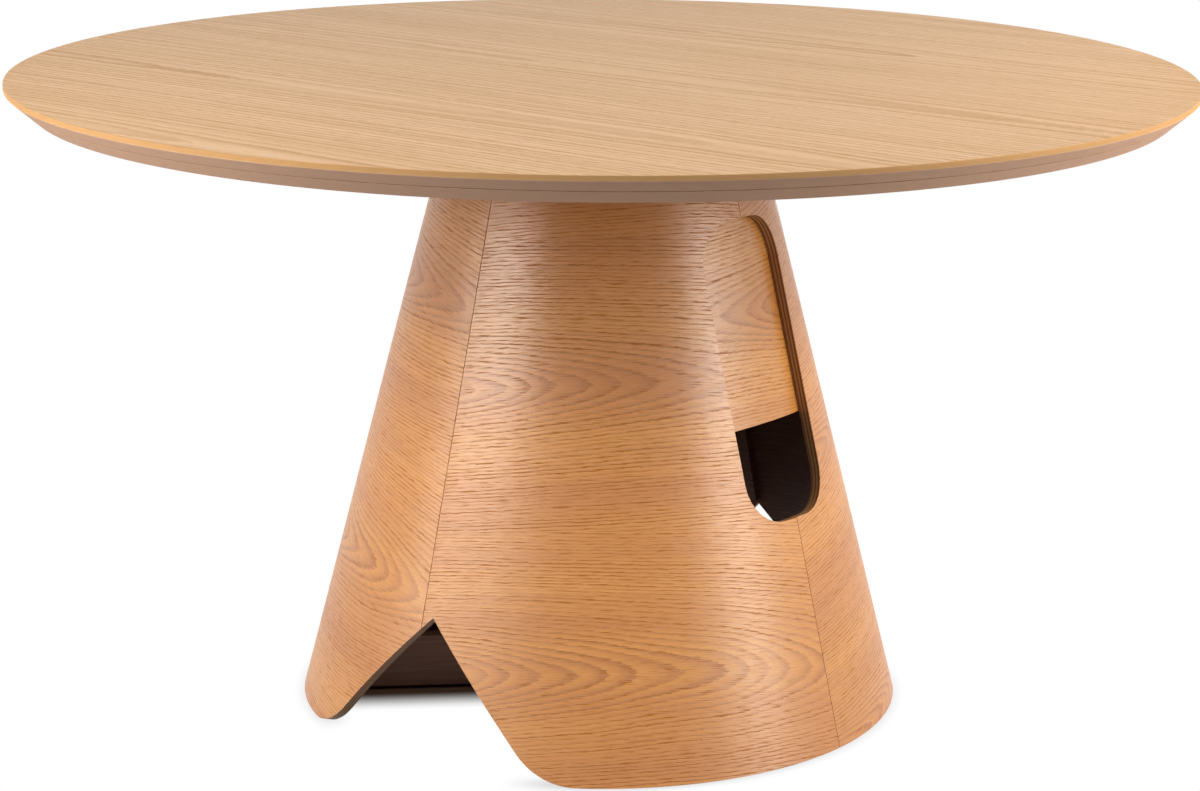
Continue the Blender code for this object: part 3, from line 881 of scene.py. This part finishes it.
@dataclass
class Tabletop:
    """Two turned boards glued face to face, with a thin lip over one bevel."""

    material: Material
    steps: int = 240
    easing: float = 0.0007
    easing_facets: int = 3
    edge_band: float = 0.12
    face_normal: float = 0.95
    face_shift: VeneerCut = VeneerCut(0.15, 0.3245)

    def profile(self, node: str) -> Profile:
        """Rim of a board as (radius, height) points from its underside to its face, closed on the axis."""
        levels: dict[float, float] = {}
        for point in node_points(node):
            height = round(point.z, PLACES)
            levels[height] = max(levels.get(height, 0.0), point.xy.length)
        widest = max(levels.values())
        rim = sorted((height, radius) for height, radius in levels.items() if radius > widest / 2.0)
        points = [(radius, height) for height, radius in rim]
        return [(0.0, points[0][1]), *points, (0.0, points[-1][1])]

    def grain(self, loop: BMLoop) -> tuple[float, float]:
        """Straight along X on the face, and round the rim on the lip and the bevel."""
        point = loop.vert.co
        if abs(loop.face.normal.z) > self.face_normal:
            return point.x + self.face_shift.along, point.y + self.face_shift.across
        middle = azimuth_of(loop.face.calc_center_median())
        turn = nearest_turn(azimuth_of(point), middle)
        return turn * CAD_BOX[1].x, self.edge_band + point.z - point.xy.length

    def turned(self, node: str) -> BMesh:
        """Spin a board's profile and ease its rim.

        Args:
            node: the board's CAD node.

        Returns:
            The board's mesh.
        """
        bm = spun(self.profile(node), self.steps)
        bmesh.ops.recalc_face_normals(bm, faces=bm.faces)
        ease_edges(bm, self.easing, self.easing_facets)
        lay_grain(bm, self.grain)
        return bm

    def build(self) -> None:
        """Make both boards."""
        for node in ("tabletop_upper_board", "tabletop_lower_board"):
            new_piece(node + "_oak", self.turned(node), self.material, "oak_top", node)


@dataclass
class ConeBase:
    """Four bent panels, the liners behind their slots and the battens behind their seams."""

    cone: ConeWall
    panel_finish: Material
    liner_finish: Material
    stain: Material
    panel_easing: float = 0.00025
    batten_easing: float = 0.0010

    def bent(self, node: str, suffix: str, azimuth: float, cut: VeneerCut, finish: Material, slot: str,
             easing: float) -> None:
        """Make one bent piece.

        Args:
            node: its CAD node.
            suffix: what the piece's name adds to the node's.
            azimuth: azimuth of its middle line.
            cut: where its veneer comes from.
            finish: its material.
            slot: the record's material slot.
            easing: rounding of its edges.
        """
        bm = merged_copy(node)
        ease_edges(bm, easing)
        self.cone.lay_bent_grain(bm, azimuth, cut)
        new_piece(node + suffix, bm, finish, slot, node)

    def build(self) -> None:
        """Make the panels, the liners, and the battens, each cut from a far part of its sheet."""
        for side, cut in PANEL_CUTS.items():
            self.bent(side.word + "_panel", "_oak", side.azimuth, cut, self.panel_finish, "oak_panel",
                      self.panel_easing)
        for seam, cut in LINER_CUTS.items():
            self.bent(seam.word + "_slot_liner", "_oak", seam.azimuth, cut, self.liner_finish, "oak_liner",
                      self.panel_easing)
        for seam in Seam:
            self.bent(seam.word + "_seam_batten", "_stained", seam.azimuth, VeneerCut(seam.value),
                      self.stain, "dark_ply", self.batten_easing)


@dataclass
class InnerFrame:
    """Cap and cleats in the neck, and the cross-lapped braces and foot blocks near the floor."""

    stain: Material
    raw_ply: Material
    cleat_easing: float = 0.0015
    brace_easing: float = 0.0012
    cap_easing: float = 0.0006

    def sawn(self, node: str, azimuth: float, easing: float) -> None:
        """Make one dark-stained sawn piece.

        Args:
            node: its CAD node.
            azimuth: the way its grain runs.
            easing: rounding of its edges.
        """
        bm = merged_copy(node)
        ease_edges(bm, easing)
        lay_grain(bm, sawn_grain(azimuth_vector(azimuth)))
        new_piece(node + "_stained", bm, self.stain, "dark_ply", node)

    def build(self) -> None:
        """Make the cap, the cleats, the blocks and the braces."""
        bm = merged_copy("base_cap")
        ease_edges(bm, self.cap_easing)
        new_piece("base_cap_ply", bm, self.raw_ply, "cap_ply", "base_cap")
        for side in Side:
            along = side.azimuth + math.pi / 2.0
            self.sawn(side.word + "_cap_cleat", along, self.cleat_easing)
            self.sawn(side.word + "_foot_block", along, self.cleat_easing)
        self.sawn("lower_floor_brace", Side.FRONT.azimuth, self.brace_easing)
        self.sawn("upper_floor_brace", Side.RIGHT.azimuth, self.brace_easing)


class Drive(Enum):
    """Shape of the recess that a screwdriver or a key fits."""

    STAR = "star"
    HEXAGON = "hexagon"

    def reach(self, turn: float, radius: float) -> float:
        """Distance from the axis to the recess's wall.

        Args:
            turn: direction round the axis, in radians.
            radius: half of the recess's greatest width.

        Returns:
            The distance in that direction.
        """
        if self is Drive.STAR:
            return radius * (1.0 - STAR_DIP + STAR_DIP * math.cos(STAR_LOBES * turn))
        half = math.pi / HEXAGON_SIDES
        return radius * math.cos(half) / math.cos((turn + half) % (2.0 * half) - half)


@dataclass(frozen=True)
class HeadShape:
    """Drive recess of a fastener's head, and the rounding of the head's rim."""

    drive: Drive
    recess_radius: float
    recess_depth: float
    rim: float


@dataclass
class Hardware:
    """Screws and bolts, turned again with their drive recesses; inserts and glides keep their CAD shape."""

    cone: ConeWall
    zinc: Material
    nylon: Material
    steps: int = 36
    sharp: float = math.radians(35.0)
    screw_head: HeadShape = HeadShape(Drive.STAR, 0.00225, 0.0018, 0.0002)
    bolt_head: HeadShape = HeadShape(Drive.HEXAGON, 0.0029, 0.0022, 0.0006)

    def inward(self, node: str) -> Vector:
        """The way that a fastener was driven: square out through the wall, or straight up."""
        low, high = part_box(node)
        return self.cone.square_out(azimuth_of((low + high) / 2.0)) if "block_screw" in node else UP

    def measured(self, node: str, inward: Vector) -> tuple[Vector, Profile]:
        """Measure a turned fastener.

        Args:
            node: its CAD node.
            inward: the way that it was driven.

        Returns:
            The centre of its head's face, and its profile from the head's rim to its tip.
        """
        corners = {tuple(round(value, FINE_PLACES) for value in point) for point in node_points(node)}
        points = [Vector(corner) for corner in corners]
        face = min(point.dot(inward) for point in points)
        ring = [point for point in points if point.dot(inward) < face + LEVEL]
        centre = sum(ring, Vector()) / len(ring)
        rings: set[tuple[float, float]] = set()
        for point in points:
            depth = (point - centre).dot(inward)
            radius = (point - centre - inward * depth).length
            rings.add((round(depth, PLACES), round(radius, PLACES)))
        widest = max(radius for depth, radius in rings if depth < LEVEL)
        profile = [(widest, 0.0)]
        for depth, radius in sorted(rings, key=lambda ring: (ring[0], -ring[1])):
            step = max(abs(radius - profile[-1][0]), abs(depth - profile[-1][1]))
            if depth > LEVEL and step > LEVEL:
                profile.append((radius, depth))
        return centre, profile

    def turned(self, profile: Profile, head: HeadShape) -> BMesh:
        """Turn a fastener and sink the recess into its head.

        Args:
            profile: (radius, depth) points from the head's rim to the tip.
            head: the head's details.

        Returns:
            The fastener's mesh, with its head's face on height 0 and its tip up.
        """
        bm = spun(profile, self.steps)
        rim = [edge for edge in bm.edges if edge.is_boundary]
        bmesh.ops.contextual_create(bm, geom=rim)
        round_edges(bm, rim, head.rim)
        face = max(bm.faces, key=lambda candidate: len(candidate.verts))
        bmesh.ops.inset_region(bm, faces=[face], thickness=(profile[0][0] - head.rim) / 2.0)
        for vert in face.verts:
            turn = math.atan2(vert.co.y, vert.co.x)
            reach = head.drive.reach(turn, head.recess_radius)
            vert.co.xy = (reach * math.cos(turn), reach * math.sin(turn))
        floor = bmesh.ops.extrude_discrete_faces(bm, faces=[face])["faces"][0]
        bmesh.ops.translate(bm, verts=floor.verts, vec=UP * head.recess_depth)
        bmesh.ops.recalc_face_normals(bm, faces=bm.faces)
        return bm

    def fastener(self, node: str, head: HeadShape) -> None:
        """Make one screw or bolt in its place."""
        inward = self.inward(node)
        centre, profile = self.measured(node, inward)
        bm = self.turned(profile, head)
        bm.transform(Matrix.LocRotScale(centre, inward.to_track_quat("Z", "Y"), None))
        piece = new_piece(node + "_zinc", bm, self.zinc, "steel", node)
        piece.data.set_sharp_from_angle(angle=self.sharp)

    def build(self) -> None:
        """Make the screws and bolts, and finish the inserts and glides."""
        for name, node in list(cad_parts.items()):
            if "screw" in name:
                self.fastener(name, self.screw_head)
            elif "bolt" in name:
                self.fastener(name, self.bolt_head)
            elif "insert" in name or "glide" in name:
                finish = self.zinc if "insert" in name else self.nylon
                node.data.materials.clear()
                node.data.materials.append(finish)
                LOG.info("%s: finish %s", name, finish.name)


@dataclass(frozen=True)
class PhotoCamera:
    """Camera of the photograph, fitted to the rims of the top and the foot; lengths in metres."""

    azimuth: float = math.radians(39.1)
    distance: float = 3.508
    height: float = 1.2585
    pitch: float = 0.2506
    roll: float = 0.0068
    focal_px: float = 3034.8
    centre_px: float = 600.8
    image_width_px: float = 1200.0
    sensor: float = 36.0

    def place(self) -> None:
        """Make the camera and give it to the scene."""
        data = bpy.data.cameras.new("photo_camera")
        data.sensor_width = self.sensor
        data.lens = self.focal_px / self.image_width_px * self.sensor
        data.shift_x = 0.5 - self.centre_px / self.image_width_px
        camera = placed("photo_camera", data)
        spot = azimuth_vector(self.azimuth) * self.distance + UP * self.height
        camera.matrix_world = (
            Matrix.Translation(spot) @ Matrix.Rotation(self.azimuth, 4, "Z")
            @ Matrix.Rotation(math.pi / 2.0 - self.pitch, 4, "X") @ Matrix.Rotation(self.roll, 4, "Z"))
        bpy.context.scene.camera = camera
        LOG.info("camera at %s", tuple(round(value, 3) for value in spot))


@dataclass(frozen=True)
class Softbox:
    """Studio lamp that faces a point on the table's axis.

    It stands so many degrees to the right of the camera, at a distance from the axis and a height.
    """

    name: str
    aside: float
    distance: float
    height: float
    size: tuple[float, float]
    watts: float
    aim: float = 0.5
    colour: Colour = (1.0, 0.97, 0.88)

    def place(self, middle: float) -> None:
        """Make the lamp.

        Args:
            middle: azimuth of the camera, in radians.
        """
        data = bpy.data.lights.new(self.name, "AREA")
        data.shape = "RECTANGLE"
        data.size, data.size_y = self.size
        data.color = self.colour
        data.energy = self.watts
        lamp = placed(self.name, data)
        lamp.visible_camera = False
        azimuth = middle + math.radians(self.aside)
        spot = azimuth_vector(azimuth) * self.distance + UP * self.height
        turn = (UP * self.aim - spot).to_track_quat("-Z", "Y")
        lamp.matrix_world = Matrix.LocRotScale(spot, turn, None)
        LOG.info("lamp %s: %.0f W", self.name, self.watts)


# Keys, softboxes, fills and low strips on both sides of the camera, and two lamps behind the table.
LAMPS = (
    Softbox("left_key", -48.0, 2.5, 2.2, (2.2, 0.8), 38.0),
    Softbox("left_softbox", -63.0, 2.5, 1.45, (2.0, 0.9), 26.0),
    Softbox("left_fill", -57.0, 2.6, 1.0, (1.4, 0.6), 11.0),
    Softbox("left_strip", -74.0, 2.7, 0.45, (0.8, 0.6), 5.0),
    Softbox("right_key", 78.0, 2.5, 2.2, (2.2, 0.8), 36.0),
    Softbox("right_softbox", 82.0, 2.5, 1.45, (1.8, 0.9), 36.0),
    Softbox("right_fill", 64.0, 2.6, 1.0, (1.2, 0.6), 6.5),
    Softbox("right_strip", 62.0, 2.7, 0.45, (0.8, 0.6), 9.0),
    Softbox("rear_softbox", 180.0, 2.6, 1.4, (2.4, 0.6), 7.0),
    Softbox("rear_strip", 180.0, 2.6, 0.42, (1.8, 0.5), 10.0))


@dataclass
class Studio:
    """White floor and surroundings, with the lamps and the camera."""

    camera: PhotoCamera
    floor_radius: float = 9.0
    floor_facets: int = 96
    floor_drop: float = 0.0002
    # Painted shade: the matt floor, seen only where the white fades, is dark grey, and under the base it is
    # painted warm brown for the shade and the brown light bounced there.
    floor_colour: Colour = (0.20, 0.20, 0.20)
    shade_colour: Colour = (0.30, 0.19, 0.135)
    foot_radius: float = 0.343
    # Painted contact shadow: the white fades by contact_shade in a ring this wide at the foot, kept out of
    # the notches by side_band.
    contact: float = 0.03
    contact_shade: float = 0.3
    side_band: Band = (0.12, 0.18)
    # Painted shadow: in front of the braces the white fades in only over this band.
    brace_shadow_band: Band = (0.02, 0.085)
    ambient: float = 0.01

    def floor_finish(self) -> Material:
        """White to look at, apart from painted shade: a contact shadow in a ring round the table's foot,
        and under the base and in front of its braces, where the matt floor shows dark grey and brown with
        its own shadow on it.
        """
        graph = FinishGraph("studio_floor_white")
        x, y, _ = graph.position()
        radius = (x * x + y * y).root()
        before_brace = (y.size() - x.size()) * math.sqrt(0.5)
        outside = graph.ease(radius, (self.foot_radius - self.contact, self.foot_radius))
        clear = graph.math("MAXIMUM", graph.ease(before_brace, self.brace_shadow_band), outside)
        contact = graph.ease((radius - self.foot_radius).size(), (self.contact, 0.0))
        beside = graph.ease(x.size(), self.side_band)
        # Painted contact shadow in a ring round the foot, and painted shade under the base and before the
        # braces.
        away = clear * (1.0 - contact * beside * self.contact_shade)
        # Painted shade: brown under the base, dark grey round it.
        tone = graph.blend(outside, self.shade_colour, self.floor_colour)
        graph.dress(Base_Color=tone, Roughness=1.0, Specular_IOR_Level=0.0)
        matt = Signal(graph, graph.shader.outputs[0])
        white = graph.add("ShaderNodeEmission", {"Color": WHITE, "Strength": 1.0})
        mixed = graph.add("ShaderNodeMixShader", {0: graph.looked_at() * away, 1: matt, 2: white})
        graph.feed(graph.tree.nodes["Material Output"].inputs["Surface"], mixed)
        return graph.material

    def floor(self) -> None:
        """Level floor, a hair below the glides."""
        bm = bmesh.new()
        bmesh.ops.create_circle(
            bm, cap_ends=True, segments=self.floor_facets, radius=self.floor_radius,
            matrix=Matrix.Translation((0.0, 0.0, -self.floor_drop)))
        floor = placed("studio_floor", as_mesh("studio_floor", bm, self.floor_finish()))

    def world(self) -> None:
        """Dim even light, which looks white where it is seen."""
        world = bpy.data.worlds.new("studio_white")
        world.use_nodes = True
        bpy.context.scene.world = world
        graph = NodeGraph(world.node_tree)
        strength = graph.add("ShaderNodeMapRange", {"Value": graph.looked_at(), "To Min": self.ambient})
        background = graph.tree.nodes["Background"]
        graph.feed(background.inputs["Color"], WHITE)
        graph.feed(background.inputs["Strength"], strength)

    def build(self) -> None:
        """Set up the floor, the surroundings, the lamps and the camera."""
        bpy.context.scene.view_settings.view_transform = "Standard"
        self.floor()
        self.world()
        for lamp in LAMPS:
            lamp.place(self.camera.azimuth)
        self.camera.place()


PANEL_OAK = OakVeneer(
    pale=(0.74, 0.310, 0.055), honey=(0.615, 0.228, 0.038), ring_brown=(0.45, 0.152, 0.024),
    pore_brown=(0.31, 0.100, 0.015), gloss=0.90)
LINER_OAK = replace(
    PANEL_OAK, pale=(0.76, 0.34, 0.080), honey=(0.65, 0.265, 0.055), gloss=0.7, pore_depth=0.00004)
TOP_OAK = OakVeneer(
    pale=(0.87, 0.565, 0.330), honey=(0.80, 0.500, 0.268), ring_brown=(0.59, 0.300, 0.108),
    pore_brown=(0.49, 0.223, 0.068), leaf_width=0.333, heart_depth=0.04, heart_fall=0.02,
    ring_width=0.0105, ripple=0.0016, roughness=0.50, gloss=0.17, streak_share=0.30, pore_depth=0.00008)
PANEL_PLY = FacedPly("oak_bent_panel", PANEL_OAK, wall=0.012)
LINER_PLY = FacedPly("oak_slot_liner", LINER_OAK, wall=0.009, ply=0.0018)


def main() -> None:
    """Build the table piece by piece, then the studio round it."""
    logging.basicConfig(level=logging.INFO, format="%(name)s: %(message)s")
    cone = ConeWall.measured("front_panel")
    stain = DarkStain().material()
    panel_finish = PANEL_PLY.material()
    liner_finish = LINER_PLY.material()
    Tabletop(TurnedOak("oak_tabletop", TOP_OAK).material()).build()
    ConeBase(cone, panel_finish, liner_finish, stain).build()
    InnerFrame(stain, RawPly().material()).build()
    Hardware(cone, ZincSteel().material(), BlackNylon().material()).build()
    Studio(PhotoCamera()).build()


if __name__ == "__main__":
    main()
